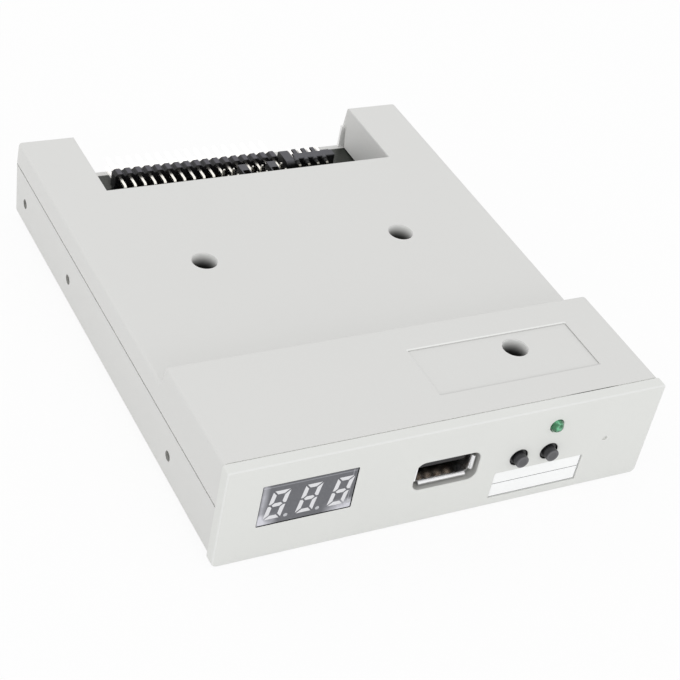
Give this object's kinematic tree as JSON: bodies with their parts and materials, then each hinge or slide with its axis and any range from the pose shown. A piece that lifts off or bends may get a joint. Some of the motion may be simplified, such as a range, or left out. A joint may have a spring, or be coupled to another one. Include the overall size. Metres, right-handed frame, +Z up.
{
  "type": "floppy drive emulator",
  "caption": "Floppy drive emulator in the 3.5-inch drive form: pale plastic case, bezel with USB socket, digit display, light and push buttons, and a rear bay with pin header and power plug.",
  "frame": {"origin": "middle of the bounding box's base", "axes": "X to the right seen from the bezel, Y from the bezel to the rear, Z up"},
  "size_m": [0.1016, 0.1248, 0.0254],
  "materials": {
    "case_plastic": "pale warm grey, fine matte moulded texture",
    "bezel_plastic": "pale grey, smooth satin moulding",
    "label_film": "white printed film, bare",
    "plated_steel": "bright nickel or tin plate",
    "circuit_board": "very dark olive solder mask",
    "black_plastic": "black satin moulding",
    "grey_plastic": "dark grey satin moulding",
    "chip_resin": "matte black moulding compound",
    "display_face": "mid grey satin face",
    "display_resin": "milky translucent resin, unlit",
    "contact_gold": "gold flash",
    "green_lens": "translucent green lens, unlit"
  },
  "bodies": {
    "drive": {"bottom_case": "case_plastic", "top_cover": "case_plastic", "front_bezel": "bezel_plastic", "button_label": "label_film", "case_screw_rear_left": "plated_steel", "case_screw_rear_right": "plated_steel", "case_screw_front": "plated_steel", "main_board": "circuit_board", "disk_header": "black_plastic", "jumper_header": "black_plastic", "power_connector": "grey_plastic", "processor_chip": "chip_resin", "driver_chip": "chip_resin", "voltage_regulator": "chip_resin", "clock_crystal": "plated_steel", "filter_capacitor_1": "plated_steel", "filter_capacitor_2": "plated_steel", "display_board": "circuit_board", "display_link": "black_plastic", "display_shell": "display_face", "display_resin": "display_resin", "usb_shell": "plated_steel", "usb_tongue": "black_plastic", "usb_contact_1": "contact_gold", "usb_contact_2": "contact_gold", "usb_contact_3": "contact_gold", "usb_contact_4": "contact_gold", "left_switch_body": "black_plastic", "left_switch_plate": "plated_steel", "right_switch_body": "black_plastic", "right_switch_plate": "plated_steel", "status_led": "green_lens"},
    "left_button": {"left_button_stem": "black_plastic"},
    "right_button": {"right_button_stem": "black_plastic"},
    "left_jumper": {"jumper_cap_left": "grey_plastic"},
    "right_jumper": {"jumper_cap_right": "grey_plastic"}
  },
  "joints": [
    {"name": "left_button_press", "type": "slide", "parent": "drive", "child": "left_button", "axis": [0, 1, 0], "range_m": [0, 0.00025], "stiffness_N_per_m": 300},
    {"name": "right_button_press", "type": "slide", "parent": "drive", "child": "right_button", "axis": [0, 1, 0], "range_m": [0, 0.00025], "stiffness_N_per_m": 300},
    {"name": "left_jumper_pull", "type": "slide", "parent": "drive", "child": "left_jumper", "axis": [0, 0, 1], "range_m": [0, 0.0065]},
    {"name": "right_jumper_pull", "type": "slide", "parent": "drive", "child": "right_jumper", "axis": [0, 0, 1], "range_m": [0, 0.0065]}
  ]
}
